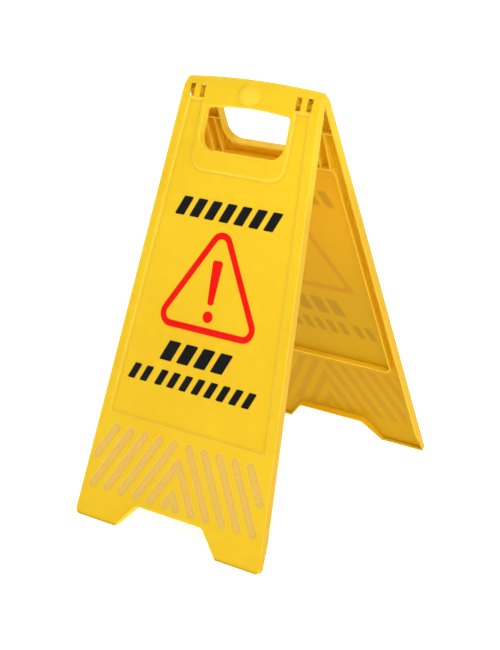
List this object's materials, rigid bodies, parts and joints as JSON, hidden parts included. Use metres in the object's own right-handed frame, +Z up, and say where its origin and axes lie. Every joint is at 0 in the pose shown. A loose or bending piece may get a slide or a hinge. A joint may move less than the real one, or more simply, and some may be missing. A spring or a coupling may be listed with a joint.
{
  "type": "wet floor sign",
  "caption": "Folding A-frame floor warning sign with hinged moulded panels, a carry-handle hole, ribbed backs, grooved feet and plain hazard graphics.",
  "frame": {"origin": "on the floor under the middle of the open sign", "axes": "+X across the panels, the front panel faces -Y, +Z up"},
  "size_m": [0.3062, 0.4442, 0.579],
  "materials": {
    "yellow_plastic": "satin injection-moulded polypropylene, slightly translucent",
    "black_film": "satin die-cut vinyl film",
    "red_film": "satin die-cut vinyl film"
  },
  "bodies": {
    "front": {"front_panel": "yellow_plastic", "front_upper_hazard_band": "black_film", "front_warning_triangle": "red_film", "front_exclamation_mark": "red_film", "front_middle_hazard_band": "black_film", "front_lower_hazard_band": "black_film"},
    "rear": {"rear_panel": "yellow_plastic", "rear_upper_hazard_band": "black_film", "rear_warning_triangle": "red_film", "rear_exclamation_mark": "red_film", "rear_middle_hazard_band": "black_film", "rear_lower_hazard_band": "black_film"}
  },
  "joints": [
    {"name": "panel_fold", "type": "hinge", "parent": "front", "child": "rear", "pos_m": [0, 0, 0.55735], "axis": [-1, 0, 0], "range_deg": [0, 41]}
  ]
}
